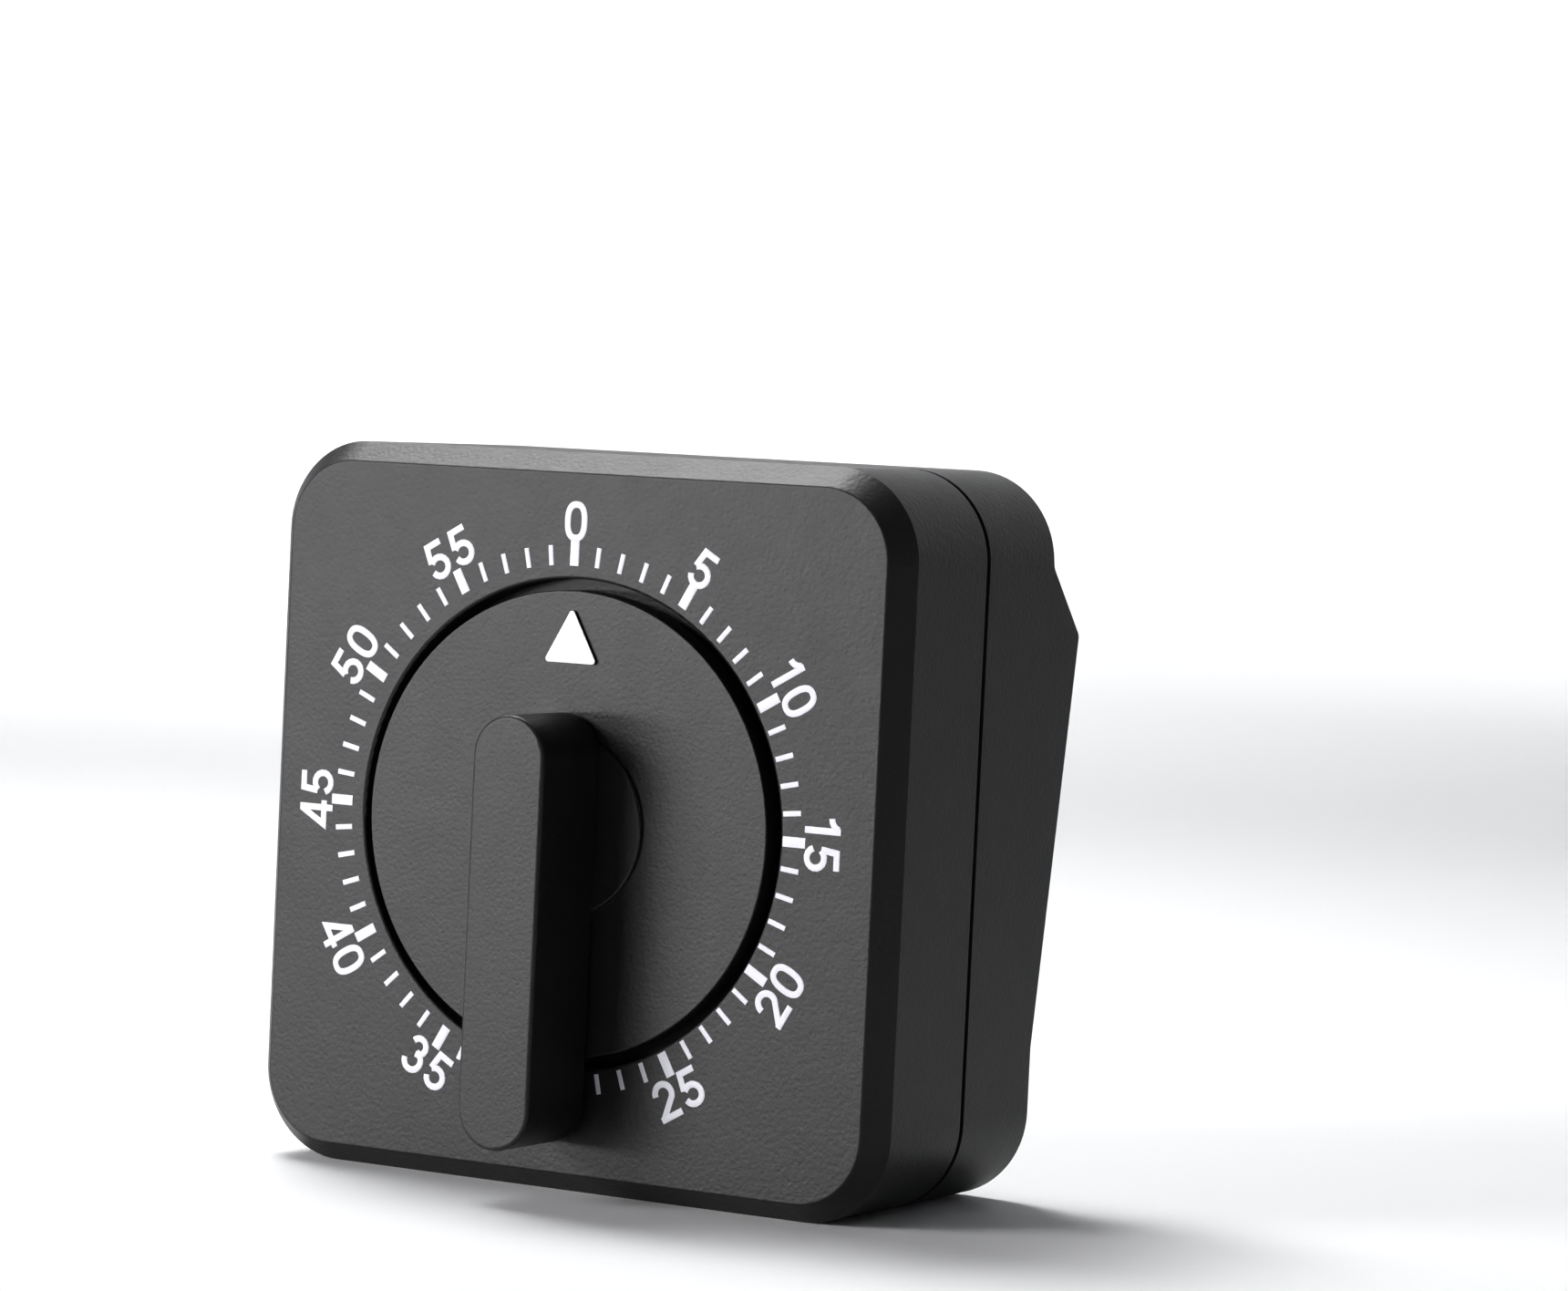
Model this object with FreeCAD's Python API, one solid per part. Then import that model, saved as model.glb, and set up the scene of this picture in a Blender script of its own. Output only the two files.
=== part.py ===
"""Square 60-minute mechanical kitchen timer, as an assembly of separate pieces, in millimetres.

Frame: X to the right as the user faces the dial, Y away from the user, Z up. The origin is in the middle of
the flat bottom that the casing stands on. The inside is described from the dial: x and z from the dial's
axis, and depth from the casing's flat front face, growing towards the back.
"""
import FreeCAD, Part
import math
import os

# Casing
CASE = 70.0                 # width and height
CORNER = 8.75               # outer corner radius
WALL = 2.0
CHAMFER_WIDTH = 1.92        # of the sloping border around the front face
CHAMFER_DEPTH = 2.43
BACK = 29.8                 # depth of the back's flat plane
SEAM_FRONT = 15.75          # the front shell ends here
SEAM_BACK = 16.45           # the rear shell's outer wall starts here
WEDGE_BACK = 35.75          # depth of the wedge's ridge
WEDGE_BOTTOM = -20.1        # where the long slope leaves the flat back, from the dial's axis
WEDGE_RIDGE = 19.6
WEDGE_TOP = 26.25
BEND_RADIUS = 1.0           # of the ridge and of the wedge's two inward bends
BACK_EDGE = 0.5             # rounding around the back
EDGE = 0.3                  # small roundings of moulded edges
TONGUE = 1.0                # wall of the rear shell's locating tongue
TONGUE_REACH = 2.5
TONGUE_GAP = 0.07           # between the tongue and the front shell's wall

# Dial and grip
RECESS_RADIUS = 23.15
RECESS_DEPTH = 3.0
DISC_RADIUS = 22.05
DISC_EDGE = 0.15
DISC_PROUD = 0.6            # the disc's face stands this far in front of the casing's
DISC_THICK = 2.2
HUB_RADIUS = 8.7
HUB_STEP = 0.5
HUB_EDGE = 0.21
GRIP_WIDTH = 7.8
GRIP_TOP = 10.6             # ends of the grip bar, from the dial's axis
GRIP_BOTTOM = -30.0
GRIP_FRONT = -10.9
GRIP_EDGE = 0.4
POINTER_BASE = 15.2
POINTER_TIP = 20.2
POINTER_WIDTH = 6.1
POINTER_RAISED = 0.35
POINTER_CORNER = 0.35
POINTER_EDGE = 0.12
SLEEVE_RADIUS = 4.0
SLEEVE_END = 6.2            # depth where the disc's sleeve ends
SHAFT_TIP = 0.85            # depth of the main arbor's front end, inside the sleeve
SHAFT_FLAT = 1.3            # distance of its flat from its axis
SHAFT_GAP = 0.03            # radial, around the shaft and the grip's pegs
CLIP_FRONT = 2.5            # depth of the spring clip beside the flat
PEG_RADIUS = 1.2
PEG_AT = 5.0                # the grip's two pegs, above and below the axis
PEG_TIP = 0.95

# Movement
PLATE_FRONT = 6.5           # depth of the front plate's front face
PLATE_REAR = 19.0           # depth of the rear plate's front face
PLATE_THICK = 1.0
PLATE_WIDTH = 46.0
PLATE_CORNER = 3.0
PILLAR_AT = 20.0
PILLAR_RADIUS = 1.6
PILLAR_FOOT = 0.9
PILLAR_THREAD = 4.0         # how far the screws reach into the pillars
ARBOR_RADIUS = 0.8
PIVOT_RADIUS = 0.45
MAIN_RADIUS = 2.0
MAIN_PIVOT = 1.5
RUN = 0.05                  # radial running clearance
END_PLAY = 0.2              # between an arbor's shoulder and a plate
THREAD_GAP = 0.02           # radial, around a screw's thread
PRESSURE_ANGLE = math.radians(25)
ADDENDUM = 0.8              # in modules
DEDENDUM = 1.05
BACKLASH = 0.07

# Gear train: teeth of each wheel and of the pinion that it drives, module, and the direction of the pinion
GREAT_TEETH, SECOND_LEAVES, GREAT_MODULE, TO_SECOND = 60, 12, 0.45, math.radians(150)
SECOND_TEETH, THIRD_LEAVES, SECOND_MODULE, TO_THIRD = 50, 10, 0.35, math.radians(61.3)
THIRD_TEETH, FOURTH_LEAVES, THIRD_MODULE, TO_FOURTH = 50, 10, 0.30, math.radians(1.9)
FOURTH_TEETH, ESCAPE_LEAVES, FOURTH_MODULE, TO_ESCAPE = 40, 10, 0.30, math.radians(16.3)
ESCAPE_TEETH, ESCAPE_TIP, ESCAPE_TO_ANCHOR, TO_ANCHOR = 15, 5.0, 7.6, math.radians(-20.8)
ESCAPE_ROOT = 3.7
ANCHOR_SWING = math.radians(4)
PALLET_RADIUS = 0.35

# Layers of the movement: the depths of each flat piece's front and rear faces
CAM_LAYER = (7.9, 8.7)      # zero cam, release lever and second wheel
INERTIA_LAYER = (9.2, 10.2)
GREAT_LAYER = (9.4, 10.4)
RATCHET_LAYER = (10.5, 11.3)
CLIP_LAYER = (11.4, 11.9)
THIRD_LAYER = (12.0, 12.7)
MAINSPRING_LAYER = (12.4, 17.6)
FOURTH_LAYER = (14.4, 15.0)
ESCAPE_LAYER = (16.5, 17.1)
ANCHOR_LAYER = (17.6, 18.3)
HAMMER_LAYER = (20.4, 21.2)
PINION_OVERHANG = 0.2       # a pinion is longer at each end than the wheel that turns it

# Bell and its hammer
BELL_RADIUS = 21.0
BELL_THICK = 1.0
BELL_RIM = 21.6             # depths of the bell's rim and crown
BELL_CROWN = 27.1
BELL_SHOULDER = 3.0
BELL_FOOT = 1.2             # radius of the bell post's foot in the rear plate
BELL_POST = 2.4
BELL_AT = (0.0, -7.0)
HAMMER_LENGTH = 11.0
HAMMER_HEAD = 2.2
HAMMER_BEARING = math.radians(-30)
HAMMER_REACH = 15.8         # from the bell's axis to the hammer head's

# Zero cam and release lever
CAM_RADIUS = 6.0
NOTCH_DEPTH = 1.9
LEVER_POST = (-15.5, -7.0)
LEVER_KNEE = (0.0, -9.4)
LEVER_END = (13.0, -9.4)
LEVER_WIDTH = 2.0
LEVER_POST_RADIUS = 1.0
LEVER_POST_END = 11.0
COIL_RADIUS = 1.6           # of the lever's and the hammer's springs
COIL_WIRE = 0.35
COIL_START = 9.0
LEVER_COILS = 3
HAMMER_COILS = 5

FACE_Y = -BACK / 2
AXIS_Z = CASE / 2
SCREW_AT = 27.5             # casing screws, from the dial's axis
BOSS_RADIUS = 3.6
BOSS_FRONT = WALL - 0.5     # the bosses run into the front wall
SCREW_SEAT = 22.0           # depth of the casing screws' seats
SCREW_TIP = 7.0
PILOT_FLOOR = 4.5           # depth where the casing screws' pilot holes end

# Screws, as (shank radius, head radius, head height)
CASE_SCREW = (1.08, 2.6, 1.8)
MOVEMENT_SCREW = (0.88, 1.9, 1.2)
PILLAR_SCREW = (0.78, 1.8, 1.1)
BELL_SCREW = (0.93, 2.5, 1.3)
MOVEMENT_BOSS = 2.6
PIN_RADIUS = 0.6            # rivets and the mainspring post's foot
POST_FOOT = 0.7             # of the lever's post and the hammer's head
MOVEMENT_SCREWS = [(-20.5, -12.0), (19.0, 8.0), (3.0, -20.5)]
SPRING_POST = (10.65, 1.1)  # the mainspring's outer end bears on it
SOUND_SLOTS = 5
SOUND_SLOT_HALF = 13.0
SOUND_SLOT_WIDTH = 1.6
SOUND_SLOT_PITCH = 4.0
LOWEST_SOUND_SLOT = -14.0
CLEAR = 1.0                 # how far a cutting tool reaches past what it cuts
Y_AXIS = FreeCAD.Vector(0, 1, 0)


def at(x, depth, z):
    """The point at x and z from the dial's axis, and at this depth behind the front face."""
    return FreeCAD.Vector(x, FACE_Y + depth, AXIS_Z + z)


def polar(radius, angle, centre=(0.0, 0.0)):
    return centre[0] + radius * math.cos(angle), centre[1] + radius * math.sin(angle)


def rod(centre, radius, start, end):
    """A round rod along the depth."""
    return Part.makeCylinder(radius, end - start, at(centre[0], start, centre[1]), Y_AXIS)


def ring(centre, outer, inner, start, end):
    return rod(centre, outer, start, end).cut(rod(centre, inner, start, end))


def slab(points, start, end):
    """A flat outline of (x, z) corners, given thickness along the depth."""
    corners = [at(x, start, z) for x, z in points]
    outline = Part.makePolygon(corners + corners[:1])
    return Part.Face(outline).extrude(Y_AXIS * (end - start))


def link(first, last, width, start, end):
    """A straight flat bar with round ends."""
    length = math.dist(first, last)
    across = (last[1] - first[1]) / length * width / 2, (first[0] - last[0]) / length * width / 2
    corners = [
        (first[0] + across[0], first[1] + across[1]),
        (last[0] + across[0], last[1] + across[1]),
        (last[0] - across[0], last[1] - across[1]),
        (first[0] - across[0], first[1] - across[1]),
    ]
    bar = slab(corners, start, end)
    return bar.fuse([rod(first, width / 2, start, end), rod(last, width / 2, start, end)]).removeSplitter()


def rounded_square(half, radius, depth):
    """A closed outline around the dial's axis."""
    inner = half - radius
    edges = []
    for turn in range(4):
        angle = math.radians(90 * turn)
        corner = polar(inner * math.sqrt(2), angle + math.radians(45))
        arc_points = [polar(radius, angle + math.radians(step), corner) for step in (0, 45, 90)]
        following = polar(inner * math.sqrt(2), angle + math.radians(135))
        straight_end = polar(radius, angle + math.radians(90), following)
        points = [at(x, depth, z) for x, z in arc_points]
        edges.append(Part.Arc(*points).toShape())
        edges.append(Part.makeLine(points[2], at(straight_end[0], depth, straight_end[1])))
    return Part.Wire(edges)


def square_block(half, radius, start, end):
    return Part.Face(rounded_square(half, radius, start)).extrude(Y_AXIS * (end - start))


def screw(centre, tip, seat, size):
    """A pan-head screw whose head is towards the back, with a cross recess."""
    shank, head, height = size
    top = seat + height
    body = rod(centre, shank, tip, seat).fuse(rod(centre, head, seat, top))
    head_edges = [e for e in body.Edges if abs(e.BoundBox.YMin - (FACE_Y + top)) < 1e-6]
    body = body.makeFillet(0.35 * height, head_edges)
    arm, blade = 0.62 * head, 0.13 * head
    recess_floor = seat + 0.45 * height
    x, z = centre
    flat = slab([(x - arm, z - blade), (x + arm, z - blade), (x + arm, z + blade), (x - arm, z + blade)],
                recess_floor, top + CLEAR)
    tall = slab([(x - blade, z - arm), (x + blade, z - arm), (x + blade, z + arm), (x - blade, z + arm)],
                recess_floor, top + CLEAR)
    return body.cut(flat.fuse(tall))


def case_corners():
    return [(sx * SCREW_AT, sz * SCREW_AT) for sx in (-1, 1) for sz in (-1, 1)]


def plate_corners():
    return [(sx * PILLAR_AT, sz * PILLAR_AT) for sx in (-1, 1) for sz in (-1, 1)]


# Casing --------------------------------------------------------------------------------------------------

def front_cover():
    half = CASE / 2
    slope = Part.makeLoft([rounded_square(half - CHAMFER_WIDTH, CORNER - CHAMFER_WIDTH, 0),
                           rounded_square(half, CORNER, CHAMFER_DEPTH)], True, True)
    shell = slope.fuse(square_block(half, CORNER, CHAMFER_DEPTH, SEAM_FRONT)).removeSplitter()
    front_y = FACE_Y + 1e-3
    rim = [e for e in shell.Edges if e.BoundBox.YMax < front_y]
    shell = shell.makeFillet(EDGE, rim)
    cup = rod((0, 0), RECESS_RADIUS + WALL, 0, RECESS_DEPTH + WALL)
    hollow = square_block(half - WALL, CORNER - WALL, WALL, SEAM_FRONT + CLEAR).cut(cup)
    shell = shell.cut(hollow)
    cup_middle = RECESS_DEPTH + WALL / 2
    bosses = [rod(c, BOSS_RADIUS, BOSS_FRONT, SEAM_FRONT) for c in case_corners()]
    bosses += [rod(c, MOVEMENT_BOSS, cup_middle, PLATE_FRONT) for c in MOVEMENT_SCREWS]
    shell = shell.fuse(bosses)
    recess = rod((0, 0), RECESS_RADIUS, -CLEAR, RECESS_DEPTH)
    sleeve_hole = rod((0, 0), SLEEVE_RADIUS + 0.3, 0, PLATE_FRONT)
    case_pilot, movement_pilot = CASE_SCREW[0] + THREAD_GAP, MOVEMENT_SCREW[0] + THREAD_GAP
    pilots = [rod(c, case_pilot, PILOT_FLOOR, SEAM_FRONT + CLEAR) for c in case_corners()]
    pilots += [rod(c, movement_pilot, cup_middle + 0.1, PLATE_FRONT + CLEAR) for c in MOVEMENT_SCREWS]
    shell = shell.cut(pilots + [recess, sleeve_hole])
    mouth = [e for e in shell.Edges
             if e.BoundBox.YMax < front_y and abs(e.BoundBox.XMax - RECESS_RADIUS) < 0.01]
    return shell.makeFillet(EDGE, mouth)


def bend(previous, corner, following, radius):
    """The three points of the arc that rounds a corner of an outline: its start, middle and end."""
    to_previous, to_following = previous - corner, following - corner
    to_previous.normalize()
    to_following.normalize()
    half_angle = to_previous.getAngle(to_following) / 2
    reach = radius / math.tan(half_angle)
    inwards = to_previous + to_following
    inwards.normalize()
    middle = corner + inwards * (radius / math.sin(half_angle) - radius)
    return corner + to_previous * reach, middle, corner + to_following * reach


def back_section():
    """The rear shell's outline seen from the side, as a face at x = 0, with its three bends rounded."""
    half = CASE / 2
    outline = [(SEAM_BACK, -half), (BACK, -half), (BACK, WEDGE_BOTTOM), (WEDGE_BACK, WEDGE_RIDGE),
               (BACK, WEDGE_TOP), (BACK, half), (SEAM_BACK, half)]
    corners = [at(0, depth, z) for depth, z in outline]
    edges = [Part.makeLine(corners[0], corners[1])]
    last = corners[1]
    for k in (2, 3, 4):
        start, middle, end = bend(corners[k - 1], corners[k], corners[k + 1], BEND_RADIUS)
        edges.append(Part.makeLine(last, start))
        edges.append(Part.Arc(start, middle, end).toShape())
        last = end
    for corner in (corners[5], corners[6], corners[0]):
        edges.append(Part.makeLine(last, corner))
        last = corner
    return Part.Face(Part.Wire(edges))


def rear_blank(face, half, radius):
    """A side outline swept across the casing's width and trimmed to its rounded square."""
    block = face.copy()
    block.translate(FreeCAD.Vector(-CASE, 0, 0))
    block = block.extrude(FreeCAD.Vector(2 * CASE, 0, 0))
    return block.common(square_block(half, radius, SEAM_FRONT, WEDGE_BACK + CLEAR))


def back_rim(block):
    """The edges around the back, without the lines across it where its bends begin and end."""
    found = []
    for edge in block.Edges:
        box = edge.BoundBox
        if box.YMin > FACE_Y + SEAM_BACK + 1e-3 and box.XLength < CASE - 2 * BEND_RADIUS:
            found.append(edge)
    return found


def rear_cover():
    half = CASE / 2
    outside = rear_blank(back_section(), half, CORNER)
    outside = outside.makeFillet(BACK_EDGE, back_rim(outside))
    inside = rear_blank(back_section().makeOffset2D(-WALL), half - WALL, CORNER - WALL)
    mouth = square_block(half - WALL, CORNER - WALL, SEAM_FRONT, SEAM_BACK + WALL + CLEAR)
    shell = outside.cut(inside.fuse(mouth))
    within = WALL + TONGUE_GAP
    bore = square_block(half - WALL - TONGUE, CORNER - WALL - TONGUE, 0, SEAM_BACK + WALL + CLEAR)
    tongue = square_block(half - within, CORNER - within, SEAM_BACK - TONGUE_REACH, SEAM_BACK + CLEAR)
    step = square_block(half - WALL / 2, CORNER - WALL / 2, SEAM_BACK, SEAM_BACK + WALL)
    shell = shell.fuse([tongue.cut(bore), step.cut(bore)]).removeSplitter()
    columns = [rod(c, BOSS_RADIUS, SEAM_FRONT, BACK - WALL / 4) for c in case_corners()]
    shell = shell.fuse(columns)
    shank, head, _ = CASE_SCREW
    holes = [rod(c, shank + 0.4, SEAM_FRONT - CLEAR, BACK + CLEAR) for c in case_corners()]
    holes += [rod(c, head + 0.3, SCREW_SEAT, WEDGE_BACK + CLEAR) for c in case_corners()]
    holes += [sound_slot(LOWEST_SOUND_SLOT + SOUND_SLOT_PITCH * row) for row in range(SOUND_SLOTS)]
    return shell.cut(holes)


def sound_slot(z):
    ends = (-SOUND_SLOT_HALF, z), (SOUND_SLOT_HALF, z)
    return link(*ends, SOUND_SLOT_WIDTH, SCREW_SEAT, WEDGE_BACK + CLEAR)


def case_screws():
    return Part.makeCompound([screw(c, SCREW_TIP, SCREW_SEAT, CASE_SCREW) for c in case_corners()])


# Dial ----------------------------------------------------------------------------------------------------

def box_outline(half, bottom, top):
    return [(-half, bottom), (half, bottom), (half, top), (-half, top)]


def shaft_section(radius, flat, start, end):
    """A round shaft with one flat on its upper side."""
    keep = slab(box_outline(radius + CLEAR, -radius - CLEAR, flat), start, end)
    return rod((0, 0), radius, start, end).common(keep)


def pointer_blank(start, end):
    """The rounded triangle: a smaller triangle grown by the corners' radius."""
    soften = POINTER_CORNER
    half = POINTER_WIDTH / 2
    side = math.hypot(half, POINTER_TIP - POINTER_BASE)
    shrink = soften * (half + side) / (POINTER_TIP - POINTER_BASE)
    corners = [(-half + shrink, POINTER_BASE + soften), (half - shrink, POINTER_BASE + soften),
               (0.0, POINTER_TIP - soften)]
    points = [at(x, start, z) for x, z in corners]
    face = Part.Face(Part.makePolygon(points + points[:1]))
    return face.makeOffset2D(soften).extrude(Y_AXIS * (end - start))


def dial_disc():
    back = DISC_THICK - DISC_PROUD
    disc = rod((0, 0), DISC_RADIUS, -DISC_PROUD, back)
    lip = [e for e in disc.Edges if e.BoundBox.YMax < FACE_Y - DISC_PROUD + 1e-3]
    disc = disc.makeFillet(DISC_EDGE, lip)
    hub = rod((0, 0), HUB_RADIUS, -DISC_PROUD - HUB_STEP, back)
    rim = [e for e in hub.Edges if e.BoundBox.YMax < FACE_Y - DISC_PROUD - HUB_STEP + 1e-3]
    hub = hub.makeFillet(HUB_EDGE, rim)
    sleeve = rod((0, 0), SLEEVE_RADIUS, back - RUN, SLEEVE_END)
    bore = shaft_section(MAIN_RADIUS + SHAFT_GAP, SHAFT_FLAT + SHAFT_GAP, SHAFT_TIP - 0.1, PLATE_FRONT)
    clip_slot = slab(box_outline(1.3, 1.2, 1.75), CLIP_FRONT - 0.1, PLATE_FRONT)
    pegs = [rod((0, z), PEG_RADIUS + SHAFT_GAP, -HUB_RADIUS, PEG_TIP + 0.1) for z in (-PEG_AT, PEG_AT)]
    pointer_seat = pointer_blank(-DISC_PROUD, 0.0)
    return disc.fuse([hub, sleeve]).cut([bore, clip_slot, pointer_seat] + pegs)


def grip_bar():
    back = -DISC_PROUD - HUB_STEP
    radius = GRIP_WIDTH / 2
    bar = link((0, GRIP_TOP - radius), (0, GRIP_BOTTOM + radius), GRIP_WIDTH, GRIP_FRONT, back)
    flat_ends = (FACE_Y + GRIP_FRONT, FACE_Y + back)
    outline = [e for e in bar.Edges
               if e.BoundBox.YLength < 1e-3 and min(abs(e.BoundBox.YMin - y) for y in flat_ends) < 1e-3]
    bar = bar.makeFillet(GRIP_EDGE, outline)
    return bar.fuse([rod((0, z), PEG_RADIUS, back - CLEAR, PEG_TIP) for z in (-PEG_AT, PEG_AT)])


def pointer_triangle():
    blank = pointer_blank(-DISC_PROUD - POINTER_RAISED, 0.0)
    top = [e for e in blank.Edges if e.BoundBox.YMax < FACE_Y - DISC_PROUD - POINTER_RAISED + 1e-3]
    return blank.makeFillet(POINTER_EDGE, top)


def knob_clip():
    """A flat spring beside the shaft's flat, which holds the dial on."""
    return slab(box_outline(1.2, SHAFT_FLAT + 0.06, 1.7), CLIP_FRONT, SLEEVE_END - 0.2)


def main_arbor():
    """The shaft that the dial sits on. It runs in both plates."""
    shoulder, rear_shoulder = PLATE_FRONT - 0.2, PLATE_REAR - 0.4
    front = shaft_section(MAIN_RADIUS, SHAFT_FLAT, SHAFT_TIP, shoulder)
    middle = rod((0, 0), MAIN_RADIUS, shoulder, rear_shoulder)
    rear = rod((0, 0), MAIN_PIVOT, rear_shoulder, PLATE_REAR + PLATE_THICK + 0.3)
    return front.fuse([middle, rear]).removeSplitter()


# Gears ---------------------------------------------------------------------------------------------------

def involute(angle):
    return math.tan(angle) - angle


def tooth_half_angle(radius, teeth, module):
    """Half the angle that a tooth takes up at this radius; below the base circle the flank is radial."""
    pitch_radius = teeth * module / 2
    base = pitch_radius * math.cos(PRESSURE_ANGLE)
    at_radius = math.acos(min(1.0, base / radius))
    at_pitch = math.pi / (2 * teeth) - BACKLASH / (4 * pitch_radius)
    return at_pitch + involute(PRESSURE_ANGLE) - involute(at_radius)


def gear_blank(teeth, module, centre, phase, start, end):
    """A spur gear with flat-sided teeth. One tooth is centred at the angle phase."""
    pitch_radius = teeth * module / 2
    base = pitch_radius * math.cos(PRESSURE_ANGLE)
    root = pitch_radius - DEDENDUM * module
    tip = pitch_radius + ADDENDUM * module
    heights = [root, max(base, root) + 0.02 * module, pitch_radius, tip]
    points = []
    for tooth in range(teeth):
        middle = phase + 2 * math.pi * tooth / teeth
        for radius in heights:
            points.append(polar(radius, middle - tooth_half_angle(radius, teeth, module), centre))
        for radius in reversed(heights):
            points.append(polar(radius, middle + tooth_half_angle(radius, teeth, module), centre))
    return slab(points, start, end)


def meshing_phase(teeth, phase, driven_teeth, direction):
    """The driven gear's phase, so that its gap faces the driving gear's tooth along this direction."""
    driver_offset = (phase - direction) * teeth / driven_teeth
    return direction + math.pi - driver_offset - math.pi / driven_teeth


def step_from(centre, teeth, driven_teeth, module, direction):
    return polar((teeth + driven_teeth) * module / 2, direction, centre)


SECOND_AT = step_from((0.0, 0.0), GREAT_TEETH, SECOND_LEAVES, GREAT_MODULE, TO_SECOND)
THIRD_AT = step_from(SECOND_AT, SECOND_TEETH, THIRD_LEAVES, SECOND_MODULE, TO_THIRD)
FOURTH_AT = step_from(THIRD_AT, THIRD_TEETH, FOURTH_LEAVES, THIRD_MODULE, TO_FOURTH)
ESCAPE_AT = step_from(FOURTH_AT, FOURTH_TEETH, ESCAPE_LEAVES, FOURTH_MODULE, TO_ESCAPE)
ANCHOR_AT = polar(ESCAPE_TO_ANCHOR, TO_ANCHOR, ESCAPE_AT)
HEAD_AT = polar(HAMMER_REACH, HAMMER_BEARING, BELL_AT)
HAMMER_AT = polar(HAMMER_LENGTH, HAMMER_BEARING + math.pi / 2, HEAD_AT)


def through(centre, radius, layer):
    """A tool for a hole right through a layer."""
    return rod(centre, radius, layer[0] - CLEAR, layer[1] + CLEAR)


def wheel(teeth, module, centre, phase, layer, bore, windows):
    """A wheel with round windows, (count, radius of their circle, their radius)."""
    blank = gear_blank(teeth, module, centre, phase, *layer)
    count, circle, radius = windows
    openings = [through(polar(circle, phase + 2 * math.pi * k / count, centre), radius, layer)
                for k in range(count)]
    return blank.cut(openings + [through(centre, bore, layer)])


def arbor(centre):
    """A steel arbor between the plates, with a thin pivot in each."""
    body = rod(centre, ARBOR_RADIUS, PLATE_FRONT + PLATE_THICK + END_PLAY, PLATE_REAR - END_PLAY)
    return body.fuse(rod(centre, PIVOT_RADIUS, PLATE_FRONT + 0.1, PLATE_REAR + PLATE_THICK - 0.1))


def pinion(teeth, module, centre, phase, layer):
    """A pinion in one piece with its arbor. The layer is that of the wheel that turns it."""
    leaves = gear_blank(teeth, module, centre, phase, layer[0] - PINION_OVERHANG, layer[1] + PINION_OVERHANG)
    return leaves.fuse(arbor(centre))


def great_wheel():
    blank = wheel(GREAT_TEETH, GREAT_MODULE, (0, 0), TO_SECOND, GREAT_LAYER, MAIN_RADIUS, (5, 8.6, 2.3))
    return blank.cut([through(c, PIN_RADIUS, GREAT_LAYER) for c in click_rivet_points()])


SECOND_PHASE = meshing_phase(GREAT_TEETH, TO_SECOND, SECOND_LEAVES, TO_SECOND)
THIRD_PHASE = meshing_phase(SECOND_TEETH, SECOND_PHASE, THIRD_LEAVES, TO_THIRD)
FOURTH_PHASE = meshing_phase(THIRD_TEETH, THIRD_PHASE, FOURTH_LEAVES, TO_FOURTH)
ESCAPE_PHASE = meshing_phase(FOURTH_TEETH, FOURTH_PHASE, ESCAPE_LEAVES, TO_ESCAPE)


def second_wheel():
    return wheel(SECOND_TEETH, SECOND_MODULE, SECOND_AT, SECOND_PHASE, CAM_LAYER, ARBOR_RADIUS, (4, 4.9, 1.9))


def second_pinion():
    return pinion(SECOND_LEAVES, GREAT_MODULE, SECOND_AT, SECOND_PHASE, GREAT_LAYER)


def third_wheel():
    return wheel(THIRD_TEETH, THIRD_MODULE, THIRD_AT, THIRD_PHASE, THIRD_LAYER, ARBOR_RADIUS, (4, 4.2, 1.6))


def third_pinion():
    return pinion(THIRD_LEAVES, SECOND_MODULE, THIRD_AT, THIRD_PHASE, CAM_LAYER)


def fourth_wheel():
    windows = 4, 3.3, 1.2
    return wheel(FOURTH_TEETH, FOURTH_MODULE, FOURTH_AT, FOURTH_PHASE, FOURTH_LAYER, ARBOR_RADIUS, windows)


def fourth_pinion():
    return pinion(FOURTH_LEAVES, THIRD_MODULE, FOURTH_AT, FOURTH_PHASE, THIRD_LAYER)


def escape_pinion():
    return pinion(ESCAPE_LEAVES, FOURTH_MODULE, ESCAPE_AT, ESCAPE_PHASE, FOURTH_LAYER)


def saw_wheel(teeth, tip, root, lean, centre, layer, bore):
    """A wheel of pointed teeth that lean one way by a part of their pitch."""
    points = []
    pitch = 2 * math.pi / teeth
    for tooth in range(teeth):
        angle = pitch * tooth
        points.append(polar(root, angle, centre))
        points.append(polar(tip, angle + lean * pitch, centre))
        points.append(polar(tip, angle + (lean + 0.06) * pitch, centre))
        points.append(polar(root, angle + 0.62 * pitch, centre))
    return slab(points, *layer).cut(through(centre, bore, layer))


def escape_wheel():
    blank = saw_wheel(ESCAPE_TEETH, ESCAPE_TIP, ESCAPE_ROOT, 0.2, ESCAPE_AT, ESCAPE_LAYER, ARBOR_RADIUS)
    return blank.cut([through(polar(2.3, math.pi / 2 * k, ESCAPE_AT), 0.8, ESCAPE_LAYER) for k in range(4)])


# Pieces on the main arbor --------------------------------------------------------------------------------

RATCHET_TEETH = 18
RATCHET_TIP = 6.0
RATCHET_ROOT = 5.2
CLICK_LAYER = (GREAT_LAYER[1], GREAT_LAYER[1] + 0.6)
CLICK_CIRCLE = 10.9         # radius of the circle that the click's rivets stand on


def ratchet_wheel():
    return saw_wheel(RATCHET_TEETH, RATCHET_TIP, RATCHET_ROOT, 0.0, (0, 0), RATCHET_LAYER, MAIN_RADIUS)


def click_rivet_points():
    return [polar(CLICK_CIRCLE, math.radians(a)) for a in (-28, -16)]


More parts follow.
